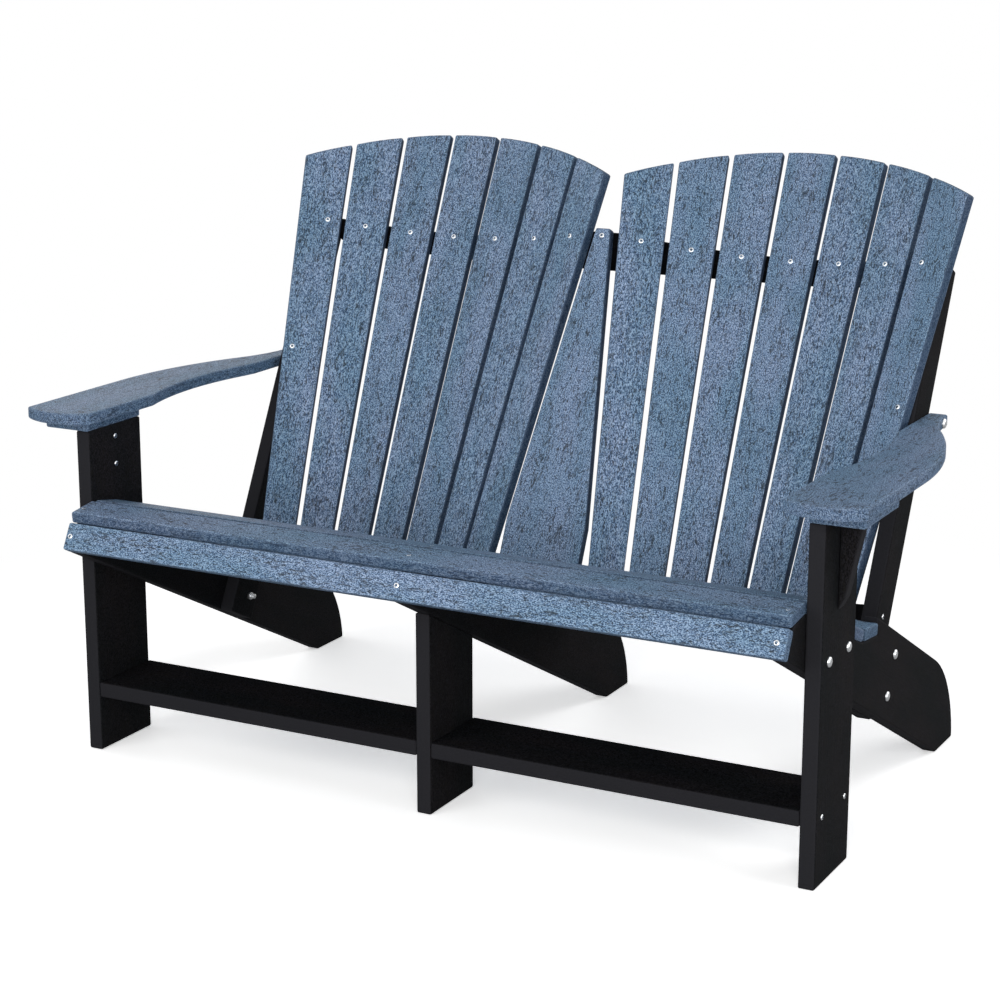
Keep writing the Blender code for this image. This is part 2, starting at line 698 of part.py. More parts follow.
def arm_bolt(side):
    """Place the bolt that holds an arm's tail to its post, its rim on the tail's curved side."""
    hollow = taper_turn()[1]
    rim_y = ARM_BOLT_Y - BOLT_HEAD_RADIUS
    face_x = ARM_TAIL_X + hollow - math.sqrt(hollow**2 - (ARM_TAPER_END_Y - rim_y)**2)
    return bolt(side, Vector((side * face_x, ARM_BOLT_Y, ARM_MIDDLE_Z)), ARM_BOLT_LENGTH)


def post_screw(side):
    """Place the screw that holds an outermost back slat to its post."""
    frame = slat_frame(side, side * FAN_SLATS_PER_SIDE, 0)
    run = (POST_SCREW_V - SLAT_FOOT_V) / slat_axes(FAN_SLATS_PER_SIDE)[1].z
    middle = frame @ Vector((0, run, 0))
    offset = side * (POST_INNER_X + POST_SCREW_INSET) - middle.x
    head = middle + frame.col[0].to_3d() * offset / frame.col[0].x
    outward = frame.col[2].to_3d()
    return Fixing(head, outward, SCREW_LENGTH, SCREW_RADIUS, SCREW_HEAD_RADIUS, SCREW_HEAD_HEIGHT)


def make_hardware(fixings, steel):
    """Make the bolts, nuts and screws, each as a piece of its own."""
    for name, group in fixings.items():
        for index, fixing in enumerate(group):
            tag = f"_{index + 1}" if len(group) > 1 else ""
            make_headed(name + tag, fixing, steel)
            if len(group) > 1:
                make_nut(name.replace("bolt", "nut") + tag, fixing, steel)


def stand_on_origin():
    """Shift every piece alike so that the middle of the footprint is the origin."""
    corners = [item.matrix_world @ Vector(corner) for item in bpy.data.objects for corner in item.bound_box]
    low = Vector([min(corner[axis] for corner in corners) for axis in range(3)])
    high = Vector([max(corner[axis] for corner in corners) for axis in range(3)])
    middle = Vector(((low.x + high.x) / 2, (low.y + high.y) / 2, low.z))
    for item in bpy.data.objects:
        item.location -= middle


def build():
    """Make the loveseat."""
    clear_scene()
    blue = lumber("blue_lumber", BLUE_FINISH)
    black = lumber("black_lumber", BLACK_FINISH)
    steel = lumber("stainless_steel", STEEL_FINISH, metallic=1.0)
    slopes = seat_slopes()
    fixings = plan_fixings()
    make_legs(fixings, black)
    make_foot_rails(black)
    make_stringers(slopes, fixings, black)
    make_posts(fixings, black)
    rail("upper_back_rail", UPPER_RAIL_V, black)
    rail("lower_back_rail", LOWER_RAIL_V, black)
    make_apron(blue)
    make_seat(slopes, blue)
    make_back(fixings, blue)
    make_arms(fixings, blue, black)
    make_hardware(fixings, steel)
    stand_on_origin()


build()
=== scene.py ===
# %% [markdown]
# # A fan-back Adirondack loveseat
# The seat is bolted together from thick plastic boards: black ones for the frame, and mottled
# blue ones for the arms, the seat and the two fans of the back. The solids of the boards come
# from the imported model, at their real size. This lesson gives them their finish, adds the small
# screws, and sets the camera, the floor and the light.

# %% Load the frame
import math

import bmesh
import bpy
from mathutils import Matrix, Vector


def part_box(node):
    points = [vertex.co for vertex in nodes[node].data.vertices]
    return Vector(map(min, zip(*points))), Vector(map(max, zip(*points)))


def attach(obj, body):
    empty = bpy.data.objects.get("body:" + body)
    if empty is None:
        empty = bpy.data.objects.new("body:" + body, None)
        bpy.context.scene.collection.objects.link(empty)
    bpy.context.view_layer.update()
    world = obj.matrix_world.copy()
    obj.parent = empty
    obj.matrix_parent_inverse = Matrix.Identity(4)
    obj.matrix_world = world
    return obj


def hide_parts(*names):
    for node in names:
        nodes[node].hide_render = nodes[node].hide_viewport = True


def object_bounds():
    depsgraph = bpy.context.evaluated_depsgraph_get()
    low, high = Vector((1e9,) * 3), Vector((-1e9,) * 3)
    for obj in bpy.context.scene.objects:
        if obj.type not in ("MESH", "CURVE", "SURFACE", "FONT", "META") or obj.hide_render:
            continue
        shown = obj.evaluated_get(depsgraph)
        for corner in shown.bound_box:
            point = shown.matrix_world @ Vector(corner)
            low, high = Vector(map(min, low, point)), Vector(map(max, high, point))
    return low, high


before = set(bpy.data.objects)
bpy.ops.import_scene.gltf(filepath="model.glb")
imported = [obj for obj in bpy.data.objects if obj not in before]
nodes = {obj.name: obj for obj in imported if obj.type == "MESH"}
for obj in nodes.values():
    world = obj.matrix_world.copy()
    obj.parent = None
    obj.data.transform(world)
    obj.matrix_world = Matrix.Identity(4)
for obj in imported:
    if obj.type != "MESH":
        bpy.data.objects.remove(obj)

cad_low, cad_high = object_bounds()
print("solids loaded:", len(nodes), "box", cad_low, cad_high)

# %% [markdown]
# ## Sorting the pieces
# Every piece of the loveseat is a board, or one of the bolts, nuts and screws that hold the
# boards. The names say which is which, so the finishes can be handed out by name, and nothing
# is forgotten when a board is added later.

# %% Sort the pieces by name
STEEL_WORDS = ("bolt", "nut", "screw")
BLACK_WORDS = ("leg", "rail", "stringer", "post", "bracket")


def named_with(name, words):
    """Say whether a piece's name holds one of the words."""
    return any(word in name for word in words)


steel_names = [name for name in sorted(nodes) if named_with(name, STEEL_WORDS)]
board_names = [name for name in sorted(nodes) if name not in steel_names]
black_names = [name for name in board_names if named_with(name, BLACK_WORDS)]
blue_names = [name for name in board_names if name not in black_names]
print("black boards:", len(black_names), "blue boards:", len(blue_names))
print("steel pieces:", len(steel_names))

# %% [markdown]
# ## Reading how each board was sawn
# A board's flecks run along its length, and its broad faces carry the embossed skin, while the
# sawn and routed sides are plainer. Both ways could be typed in for 40 boards. Reading them off
# the mesh is safer: the largest face looks out of the board's thickness, and the longest edge
# that isn't a mere diagonal of a flat face runs along the grain.

# %% Measure a board's grain and thickness
WELD_DISTANCE = 0.00001
REAL_EDGE_ANGLE = 0.2


def sawn_ways(item):
    """Return three ways of a board: along the grain, across it, and out of its broad face."""
    shape = bmesh.new()
    shape.from_mesh(item.data)
    bmesh.ops.remove_doubles(shape, verts=shape.verts, dist=WELD_DISTANCE)
    shape.normal_update()
    broad = max(shape.faces, key=lambda face: face.calc_area()).normal.copy()
    real = [edge for edge in shape.edges if edge.calc_face_angle(math.pi) > REAL_EDGE_ANGLE]
    longest = max(real, key=lambda edge: edge.calc_length())
    along = longest.verts[1].co - longest.verts[0].co
    shape.free()
    along = (along - broad * along.dot(broad)).normalized()
    return along, broad.cross(along), broad


for name in ("arm_left", "back_slat_left_1", "stringer_left"):
    print(name, [[round(value, 2) for value in way] for way in sawn_ways(nodes[name])])

# %% [markdown]
# ## Small helpers for shader nodes
# A shader tree is easier to read when a node is made in one line. These helpers make a node, set
# its plain values by the names of its sockets, and link whatever is itself a socket. The Mix node
# has one set of sockets for each kind of value, so its colour sockets are picked by number.

# %% Make and link shader nodes
MIX_SHARE, MIX_FIRST, MIX_SECOND = 0, 6, 7
MIX_RESULT = 2


def add_node(tree, kind, settings=None, **inputs):
    """Make a node. Socket names are given with _ for a space; a socket as a value is linked."""
    made = tree.nodes.new(kind)
    for key, value in (settings or {}).items():
        setattr(made, key, value)
    for key, value in inputs.items():
        feed(tree, made.inputs[key.replace("_", " ")], value)
    return made


def feed(tree, socket, value):
    """Link a socket to another one, or set its plain value."""
    if isinstance(value, bpy.types.NodeSocket):
        tree.links.new(value, socket)
    else:
        socket.default_value = value


def calculate(tree, operation, first, second=0.0):
    """Make a maths node from two numbers or sockets."""
    made = add_node(tree, "ShaderNodeMath", {"operation": operation})
    for socket, value in zip(made.inputs, (first, second)):
        feed(tree, socket, value)
    return made.outputs[0]


def blend_colours(tree, share, low, high, how="MIX"):
    """Mix two colours by a share from 0 to 1."""
    made = add_node(tree, "ShaderNodeMix", {"data_type": "RGBA", "blend_type": how})
    for index, value in ((MIX_SHARE, share), (MIX_FIRST, low), (MIX_SECOND, high)):
        feed(tree, made.inputs[index], value)
    return made.outputs[MIX_RESULT]


def ramp(tree, value, low, high, out_low=0.0, out_high=1.0):
    """Stretch a value smoothly from one range to another."""
    made = add_node(tree, "ShaderNodeMapRange", {"interpolation_type": "SMOOTHSTEP"}, Value=value,
                    From_Min=low, From_Max=high, To_Min=out_low, To_Max=out_high)
    return made.outputs["Result"]


def dot_product(tree, first, second):
    """Multiply two ways, which tells how well they agree."""
    made = add_node(tree, "ShaderNodeVectorMath", {"operation": "DOT_PRODUCT"})
    tree.links.new(first, made.inputs[0])
    tree.links.new(second, made.inputs[1])
    return made.outputs["Value"]


def flecks(tree, place, along, across, detail=2.0, wavy=0.0):
    """Make noise that is stretched along the grain; along and across are spots to the metre."""
    stretched = add_node(tree, "ShaderNodeMapping", Vector=place, Scale=(along, across, across))
    noise = add_node(tree, "ShaderNodeTexNoise", Vector=stretched.outputs[0], Scale=1.0,
                     Detail=detail, Distortion=wavy)
    return noise.outputs["Fac"]


def new_group(name, inputs, outputs):
    """Start a node group with its sockets and return it with its two ends."""
    tree = bpy.data.node_groups.new(name, "ShaderNodeTree")
    for key, kind in inputs.items():
        tree.interface.new_socket(key, in_out="INPUT", socket_type="NodeSocket" + kind)
    for key, kind in outputs.items():
        tree.interface.new_socket(key, in_out="OUTPUT", socket_type="NodeSocket" + kind)
    given = tree.nodes.new("NodeGroupInput").outputs
    put = tree.nodes.new("NodeGroupOutput").inputs
    return tree, given, put


def place_group(tree, group, **inputs):
    """Put a node group into a material."""
    return add_node(tree, "ShaderNodeGroup", {"node_tree": group}, **inputs)


print("shader helpers ready")

# %% [markdown]
# ## The mottled skin
# The boards are pressed from recycled plastic. Pigment flakes smear along the board as it is
# made, so the face is a fine salt-and-pepper of pale and deep specks, with thin dark strokes
# along the grain and greyish flecks that gather in loose clusters. One noise can't do all that,
# so this group layers several, each stretched along the grain. The strokes follow the line where
# a noise crosses its middle value, and a finer noise breaks that line into short pieces. The
# group also puts out the height of the embossing.

# %% Group: mottled skin
SPECK_ALONG, SPECK_ACROSS = 400.0, 720.0
STROKE_ALONG, STROKE_ACROSS = 34.0, 160.0
FLECK_ALONG, FLECK_ACROSS = 110.0, 300.0
CLUSTER_ALONG, CLUSTER_ACROSS = 20.0, 42.0
TONE_ALONG, TONE_ACROSS = 5.0, 14.0
FINE_DETAIL = 3.0
STROKE_WAVE = 0.6
NOISE_MIDDLE = 0.5
PALE_RANGE, DEEP_RANGE = (0.50, 0.62), (0.50, 0.38)
STROKE_RANGE, STROKE_SHARE = (0.036, 0.010), 0.85
BREAK_RANGE = (0.40, 0.54)
SMEAR_RANGE, SMEAR_SHARE = (0.46, 0.70), 0.8
CLUSTER_RANGE = (0.46, 0.66)
TONE_RANGE = (0.30, 0.70)
RED_DRIFT, COOL_DRIFT = (0.84, 1.16), (0.92, 1.08)
RIDGE_SHARE = 0.8


def mottled_skin():
    """Build the group that paints and embosses a board's skin."""
    colours = {key: "Color" for key in ("Body", "Pale", "Deep", "Fleck")}
    tree, given, put = new_group("mottled_skin", {"Place": "Vector", **colours},
                                 {"Color": "Color", "Height": "Float", "Rub": "Float"})
    place = given["Place"]
    specks = flecks(tree, place, SPECK_ALONG, SPECK_ACROSS, FINE_DETAIL)
    waves = flecks(tree, place, STROKE_ALONG, STROKE_ACROSS, FINE_DETAIL, STROKE_WAVE)
    fine = flecks(tree, place, FLECK_ALONG, FLECK_ACROSS, FINE_DETAIL)
    cluster = flecks(tree, place, CLUSTER_ALONG, CLUSTER_ACROSS)
    tone = flecks(tree, place, TONE_ALONG, TONE_ACROSS)
    colour = blend_colours(tree, ramp(tree, specks, *PALE_RANGE), given["Body"], given["Pale"])
    colour = blend_colours(tree, ramp(tree, specks, *DEEP_RANGE), colour, given["Deep"])
    off_middle = calculate(tree, "ABSOLUTE", calculate(tree, "SUBTRACT", waves, NOISE_MIDDLE))
    line = ramp(tree, off_middle, *STROKE_RANGE, 0.0, STROKE_SHARE)
    stroke = calculate(tree, "MULTIPLY", line, ramp(tree, fine, *BREAK_RANGE))
    colour = blend_colours(tree, stroke, colour, given["Fleck"])
    smear = calculate(tree, "MULTIPLY", ramp(tree, fine, *SMEAR_RANGE),
                      ramp(tree, cluster, *CLUSTER_RANGE))
    smear = calculate(tree, "MULTIPLY", smear, SMEAR_SHARE)
    colour = blend_colours(tree, smear, colour, given["Fleck"])
    red = ramp(tree, tone, *TONE_RANGE, *RED_DRIFT)
    cool = ramp(tree, tone, *TONE_RANGE, *COOL_DRIFT)
    drift = add_node(tree, "ShaderNodeCombineColor", Red=red, Green=cool, Blue=cool)
    colour = blend_colours(tree, 1.0, colour, drift.outputs[0], "MULTIPLY")
    ridges = calculate(tree, "MULTIPLY", waves, RIDGE_SHARE)
    tree.links.new(colour, put["Color"])
    tree.links.new(calculate(tree, "ADD", ridges, specks), put["Height"])
    tree.links.new(specks, put["Rub"])
    return tree


skin_group = mottled_skin()
print("group", skin_group.name, "nodes", len(skin_group.nodes))

# %% [markdown]
# ## Where the saw has been
# The sides of a board are sawn and routed, so they lack the embossing. Their colour also takes a
# painted tone for the light that falls on them: painted shade on the blue boards and the back
# rails, painted light on the other black boards. The mask compares the way a surface looks with
# the way out of the board's broad face. It is 1 on the skin and 0 on a sawn side, and it depends
# only on the object, never on the camera.

# %% Group: sawn sides
SIDE_FACING, SKIN_FACING = 0.72, 0.96


def sawn_side():
    """Build the group that tells the pressed skin from the sawn sides."""
    tree, given, put = new_group("sawn_side", {"Facing": "Vector", "Out": "Vector"},
                                 {"Skin": "Float"})
    match = calculate(tree, "ABSOLUTE", dot_product(tree, given["Facing"], given["Out"]))
    tree.links.new(ramp(tree, match, SIDE_FACING, SKIN_FACING), put["Skin"])
    return tree


side_group = sawn_side()
print("group", side_group.name, "nodes", len(side_group.nodes))

# %% [markdown]
# ## Rubbed edges
# Handling rubs the eased edges a little paler. The Bevel node gives the normal that a rounder
# edge would have. Where it departs from the real normal there is an edge, so the difference is a
# ready mask, whatever the shape of the board.

# %% Group: rubbed edges
RUB_REACH = 0.004
BEVEL_SAMPLES = 4
FLAT_MATCH, EDGE_MATCH = 0.995, 0.90


def rubbed_edge():
    """Build the group that finds the edges."""
    tree, given, put = new_group("rubbed_edge", {"Reach": "Float"}, {"Edge": "Float"})
    rounded = add_node(tree, "ShaderNodeBevel", {"samples": BEVEL_SAMPLES}, Radius=given["Reach"])
    facing = add_node(tree, "ShaderNodeNewGeometry")
    match = dot_product(tree, rounded.outputs[0], facing.outputs["Normal"])
    tree.links.new(ramp(tree, match, FLAT_MATCH, EDGE_MATCH), put["Edge"])
    return tree


edge_group = rubbed_edge()
print("group", edge_group.name, "nodes", len(edge_group.nodes))

# %% [markdown]
# ## Board finishes
# Blue and black boards are the same stuff with other pigments, so one recipe serves both, with a
# palette for each. The sides of the blue boards get a deep navy as painted shade, and those of the
# black boards a paler grey as painted light. Every board gets its own material, because the
# pattern is turned to its grain and shifted by its own distance: no two neighbours then show the
# same flecks.

# %% Palettes and the recipe of a board
BLUE = {"Body": (0.166, 0.270, 0.430, 1), "Pale": (0.400, 0.535, 0.710, 1),
        "Deep": (0.030, 0.058, 0.116, 1), "Fleck": (0.034, 0.042, 0.052, 1)}
# Painted side tones: the navy is painted shade, and the grey of the black sides is painted light.
BLUE_SIDE_PAINTED_SHADE = (0.022, 0.042, 0.085, 1)
BLUE_RUB = (0.270, 0.370, 0.510, 1)
BLACK = {"Body": (0.0115, 0.0115, 0.0130, 1), "Pale": (0.0200, 0.0200, 0.0230, 1),
         "Deep": (0.0050, 0.0050, 0.0055, 1), "Fleck": (0.0130, 0.0125, 0.0120, 1)}
BLACK_SIDE_PAINTED_LIGHT = (0.0260, 0.0260, 0.0300, 1)
BLACK_RUB = (0.0240, 0.0240, 0.0270, 1)
RUB_SHARE = 0.30
SPECK_RANGE = (0.3, 0.7)
SMOOTHER, ROUGHER = 0.06, 0.08
SIDE_RELIEF = 0.35
EMBOSS_STRENGTH, EMBOSS_DEPTH = 0.55, 0.0008
SHIFT = Vector((0.37, 0.53, 0.71))


def board_finish(name, number, palette, painted_side_tone, painted_side_share, rub_colour, surface):
    """Make the material of one board, turned to its grain; surface is roughness and gloss."""
    rough, gloss = surface
    along, across, broad = sawn_ways(nodes[name])
    turn = Matrix((along, across, broad)).to_euler()
    material = bpy.data.materials.new("finish_" + name)
    material.use_nodes = True
    tree = material.node_tree
    shader = tree.nodes["Principled BSDF"]
    spot = add_node(tree, "ShaderNodeTexCoord")
    place = add_node(tree, "ShaderNodeMapping", Vector=spot.outputs["Object"], Rotation=turn,
                     Location=SHIFT * number)
    skin = place_group(tree, skin_group, Place=place.outputs[0], **palette)
    facing = add_node(tree, "ShaderNodeNewGeometry")
    side = place_group(tree, side_group, Facing=facing.outputs["Normal"], Out=broad)
    edge = place_group(tree, edge_group, Reach=RUB_REACH)
    # The sides get a painted tone: painted shade on blue boards and back rails, painted light on
    # other black boards.
    painted_sides = blend_colours(tree, painted_side_share, skin.outputs["Color"], painted_side_tone)
    colour = blend_colours(tree, side.outputs["Skin"], painted_sides, skin.outputs["Color"])
    rub = calculate(tree, "MULTIPLY", edge.outputs["Edge"], RUB_SHARE)
    colour = blend_colours(tree, rub, colour, rub_colour)
    tree.links.new(colour, shader.inputs["Base Color"])
    roughness = ramp(tree, skin.outputs["Rub"], *SPECK_RANGE, rough - SMOOTHER, rough + ROUGHER)
    tree.links.new(roughness, shader.inputs["Roughness"])
    shader.inputs["Specular IOR Level"].default_value = gloss
    relief = ramp(tree, side.outputs["Skin"], 0.0, 1.0, SIDE_RELIEF, 1.0)
    height = calculate(tree, "MULTIPLY", skin.outputs["Height"], relief)
    bump = add_node(tree, "ShaderNodeBump", Height=height, Strength=EMBOSS_STRENGTH,
                    Distance=EMBOSS_DEPTH)
    tree.links.new(bump.outputs[0], shader.inputs["Normal"])
    return material


print("palettes:", sorted(BLUE), "blue and black")

# %% [markdown]
# ## Dressing the boards
# The solids' edges are already eased with a small round. Smooth shading alone would bend the
# light across the broad faces too, so a Weighted Normal modifier gives the large faces the say,
# and only the rounds shade softly. Neither changes the shape. The tops of the foot rails and the
# back rails are in deep shade in the photograph, so their surface is quite matt. The back rails'
# sides take the deepest black as painted shade, the other black boards' sides a paler grey as
# painted light, and the slats' sides take the most of the navy painted shade.

# %% Give every board its finish
CRISP_DEGREES = 48
# Shares of the painted side tone: shade on the blue boards and the back rails, light on the other
# black boards.
PART_PAINTED_SIDE, MOST_PAINTED_SIDE, ALL_PAINTED_SIDE = 0.40, 0.60, 0.80
MATT, DULL, SATIN = (0.70, 0.0), (0.62, 0.02), (0.56, 0.10)
RECIPES = {"foot_rail": (BLACK, BLACK_SIDE_PAINTED_LIGHT, ALL_PAINTED_SIDE, BLACK_RUB, MATT),
           # The back rails' sides get the deepest black as painted shade.
           "back_rail": (BLACK, BLACK["Deep"], ALL_PAINTED_SIDE, BLACK_RUB, MATT),
           "back_slat": (BLUE, BLUE_SIDE_PAINTED_SHADE, ALL_PAINTED_SIDE, BLUE_RUB, SATIN),
           "seat_slat": (BLUE, BLUE_SIDE_PAINTED_SHADE, MOST_PAINTED_SIDE, BLUE_RUB, SATIN)}
OTHER_BLACK = (BLACK, BLACK_SIDE_PAINTED_LIGHT, ALL_PAINTED_SIDE, BLACK_RUB, DULL)
OTHER_BLUE = (BLUE, BLUE_SIDE_PAINTED_SHADE, PART_PAINTED_SIDE, BLUE_RUB, SATIN)


def recipe_for(name):
    """Return the colours and the surface that suit a board."""
    for word, recipe in RECIPES.items():
        if word in name:
            return recipe
    return OTHER_BLACK if name in black_names else OTHER_BLUE


def dress(item, material):
    """Put a material on a solid and shade its rounds softly."""
    for slot in item.material_slots:
        slot.material = material
    item.data.shade_smooth()
    item.data.set_sharp_from_angle(angle=math.radians(CRISP_DEGREES))
    weighted = item.modifiers.new("flat faces", "WEIGHTED_NORMAL")
    weighted.keep_sharp = True


for number, name in enumerate(board_names):
    dress(nodes[name], board_finish(name, number, *recipe_for(name)))
print("boards dressed:", len(board_names))

# %% [markdown]
# ## Stainless steel
# The fixings are plain stainless steel with a soft, tumbled surface. A metal's look is mostly its
# reflection, so the colour stays even, while a fine noise varies the roughness and dents the
# normal just enough to break the highlights. The recesses for the driver lie in shade, so they get
# a darker tone of the same recipe as painted shade.

# %% Steel finish
STEEL_GRAIN, STEEL_CLOUD = 900.0, 160.0
CLOUD_RANGE, GRAIN_RANGE = (0.35, 0.65), (0.3, 0.7)
STEEL_ROUGHNESS = (0.22, 0.36)
DENT_STRENGTH, DENT_DEPTH = 0.25, 0.0001
STEEL_TONES = ((0.78, 0.80, 0.82, 1), (0.88, 0.90, 0.92, 1))
# The recess tones are painted shade.
RECESS_SHADE_TONES = ((0.045, 0.060, 0.085, 1), (0.110, 0.140, 0.180, 1))


def steel_finish(name, dull, bright):
    """Make a steel that drifts between a dull and a bright tone."""
    material = bpy.data.materials.new(name)
    material.use_nodes = True
    tree = material.node_tree
    shader = tree.nodes["Principled BSDF"]
    spot = add_node(tree, "ShaderNodeTexCoord")
    grain = flecks(tree, spot.outputs["Object"], STEEL_GRAIN, STEEL_GRAIN)
    cloud = flecks(tree, spot.outputs["Object"], STEEL_CLOUD, STEEL_CLOUD)
    colour = blend_colours(tree, ramp(tree, cloud, *CLOUD_RANGE), dull, bright)
    tree.links.new(colour, shader.inputs["Base Color"])
    roughness = ramp(tree, grain, *GRAIN_RANGE, *STEEL_ROUGHNESS)
    tree.links.new(roughness, shader.inputs["Roughness"])
    shader.inputs["Metallic"].default_value = 1.0
    bump = add_node(tree, "ShaderNodeBump", Height=grain, Strength=DENT_STRENGTH,
                    Distance=DENT_DEPTH)
    tree.links.new(bump.outputs[0], shader.inputs["Normal"])
    return material


steel = steel_finish("tumbled_steel", *STEEL_TONES)
recess = steel_finish("recess_shadow", *RECESS_SHADE_TONES)
print("materials", steel.name, recess.name)

# %% [markdown]
# ## Turning a fixing
# Bolts, nuts and screws are round, so each is a stack of rings: a list of radius and height from
# the foot to the crown. A ring may also have lobes, which shape the driver's star recess, or six
# flats, which shape a nut. Rings make clean quads, and one helper serves every fixing. From a
# given ring on, the faces take the darker steel of the recess, its painted shade.

# %% Stack rings into a mesh
SIDES_ROUND = 24
HEX = 6
NEVER_DARK = 99
FIXING_CRISP_DEGREES = 38


def ring(radius, height, lobe=0.0):
    """List the points of one ring; a lobe is the share by which six lobes stand out."""
    points = []
    for step in range(SIDES_ROUND):
        angle = math.tau * step / SIDES_ROUND
        reach = radius * (1 + lobe * math.cos(HEX * angle))
        points.append(Vector((reach * math.cos(angle), reach * math.sin(angle), height)))
    return points


def stack(shape, rings, place, closed=True, dark_from=NEVER_DARK):
    """Join rings into a shape; closed caps the ends, and open joins the last to the first."""
    made = [[shape.verts.new(place @ point) for point in points] for points in rings]
    pairs = list(zip(made, made[1:]))
    if not closed:
        pairs.append((made[-1], made[0]))
    for count, (low, high) in enumerate(pairs):
        for step in range(SIDES_ROUND):
            side = shape.faces.new((low[step - 1], low[step], high[step], high[step - 1]))
            side.material_index = int(count >= dark_from)
    if closed:
        shape.faces.new(list(reversed(made[0])))
        shape.faces.new(made[-1]).material_index = int(len(pairs) >= dark_from)


def finish_piece(name, shape, stands_for=()):
    """Turn a shape into a steel piece that rides on the frame."""
    bmesh.ops.recalc_face_normals(shape, faces=shape.faces)
    mesh = bpy.data.meshes.new(name)
    shape.to_mesh(mesh)
    shape.free()
    mesh.materials.append(steel)
    mesh.materials.append(recess)
    mesh.shade_smooth()
    mesh.set_sharp_from_angle(angle=math.radians(FIXING_CRISP_DEGREES))
    piece = bpy.data.objects.new(name, mesh)
    bpy.context.scene.collection.objects.link(piece)
    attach(piece, "root")
    if stands_for:
        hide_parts(*stands_for)
    return piece


print("a ring has", len(ring(1.0, 0.0)), "points")

# %% [markdown]
# ## Finding a spot on a board
# A screw is known by the board that it enters and roughly where. The helper finds the board's
# broad face that looks the wanted way and slides the spot onto that face, so the head always sits
# flush, even on a slat that leans and fans at once.

# %% Drop a spot onto a board's face
front_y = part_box("front_leg_right")[0].y
LEAN = math.radians(27.0)
LOOKS_THAT_WAY = 0.7


def measured(x, y, z):
    """Turn a place that was measured from the front of the legs into one in the row's frame."""
    return Vector((x, y + front_y, z))


def leaned(x, u, v):
    """Turn a place in the leaned frame of the back into one in the row's frame."""
    y = u * math.cos(LEAN) + v * math.sin(LEAN)
    z = v * math.cos(LEAN) - u * math.sin(LEAN)
    return measured(x, y, z)


def seat_on(board, near, looking):
    """Return the frame of a fixing on a board's face: its height runs out of the face."""
    faces = nodes[board].data.polygons
    facing = [face for face in faces if face.normal.dot(looking) > LOOKS_THAT_WAY]
    face = max(facing, key=lambda found: found.area)
    away = (face.center - near).dot(face.normal) / looking.dot(face.normal)
    spot = near + looking * away
    return Matrix.Translation(spot) @ face.normal.to_track_quat("Z", "Y").to_matrix().to_4x4()


print("front of the legs at y", round(front_y, 4))

# %% [markdown]
# ## The small screws
# Slats, apron, foot rails and brackets are held by stainless screws, whose pan heads show as
# bright dots 8 mm across. Each has a star recess. They could be painted on, but a modelled head
# catches the light and throws a shadow at any distance, and it costs few faces.

# %% Model one screw head
HEAD_RADIUS = 0.0043
RECESS_RING = 4
# Each ring: its share of the head's radius, its height and its lobe.
HEAD_RINGS = ((1.0, -0.0008, 0.0), (1.0, 0.0005, 0.0), (0.93, 0.0009, 0.0), (0.74, 0.0013, 0.0),
              (0.54, 0.0015, 0.10), (0.46, 0.0013, 0.16), (0.42, -0.0002, 0.16))


def screw_head(shape, place):
    """Add a pan head with a star recess to a shape."""
    rings = [ring(HEAD_RADIUS * share, height, lobe) for share, height, lobe in HEAD_RINGS]
    stack(shape, rings, place, dark_from=RECESS_RING)


def screw_row(name, places, stands_for=()):
    """Make one piece of several screw heads."""
    shape = bmesh.new()
    for place in places:
        screw_head(shape, place)
    finish_piece(name, shape, stands_for)
    print(name, len(places), "screws")


print("a screw head has", len(HEAD_RINGS), "rings")

# %% [markdown]
# ## Screws of the back
# One row crosses both fans, where the slats meet the upper rail, and a second, hidden from the
# front by the seat, meets the lower rail. The outermost slats have one more, into the post.

# %% Screws into the back rails
FORWARD = Vector((0, -math.cos(LEAN), math.sin(LEAN)))
UPWARD = Vector((0, 0, 1))
UPPER_SCREW_V, LOWER_SCREW_V = 1.018, 0.448
SLAT_FRONT_U = 0.246
FAN_CENTRE_X = 0.3183
UPPER_SPREAD = (-0.2513, -0.170, -0.0855, 0.0, 0.0855, 0.170, 0.2371)
SLATS_IN_FAN = len(UPPER_SPREAD)
LOWER_SHARE = 0.78
FILLER_X = 0.0005
SIDE_WORDS = {"left": -1, "right": 1}


def fan_screws(word, side, v, share):
    """Place a row of screws across one fan, from its inner slat to its outer one."""
    places = []
    for index, spread in enumerate(UPPER_SPREAD):
        number = index + 1 if side > 0 else SLATS_IN_FAN - index
        near = leaned(side * (FAN_CENTRE_X + spread * share), SLAT_FRONT_U, v)
        places.append(seat_on(f"back_slat_{word}_{number}", near, FORWARD))
    return places


for word, side in SIDE_WORDS.items():
    screw_row(f"back_screws_upper_{word}", fan_screws(word, side, UPPER_SCREW_V, 1.0))
    screw_row(f"back_screws_lower_{word}", fan_screws(word, side, LOWER_SCREW_V, LOWER_SHARE))
filler_spots = [leaned(FILLER_X, SLAT_FRONT_U, v) for v in (UPPER_SCREW_V, LOWER_SCREW_V)]
screw_row("filler_screws", [seat_on("back_slat_filler", spot, FORWARD) for spot in filler_spots])

# %% [markdown]
# ## Screws of the seat and apron
# Each seat slat is screwed down to the three stringers, so the screws line up from front to
# rear. They are driven flush, so that nobody sits on a head. The first slat's screws are nearer
# its nose, and the rear slat, cut for the two fans, has only the middle one. The apron has one
# into the end of each stringer.

# %% Screws into the stringers
STRINGER_XS = (-0.605, -0.002, 0.603)
SEAT_SLATS = 6
NOSE_SHIFT = 0.008
FLUSH = Matrix.Translation((0, 0, -0.0013))
APRON_U, APRON_V = -0.239, 0.3128
APRON_XS = (-0.607, -0.003, 0.6015)


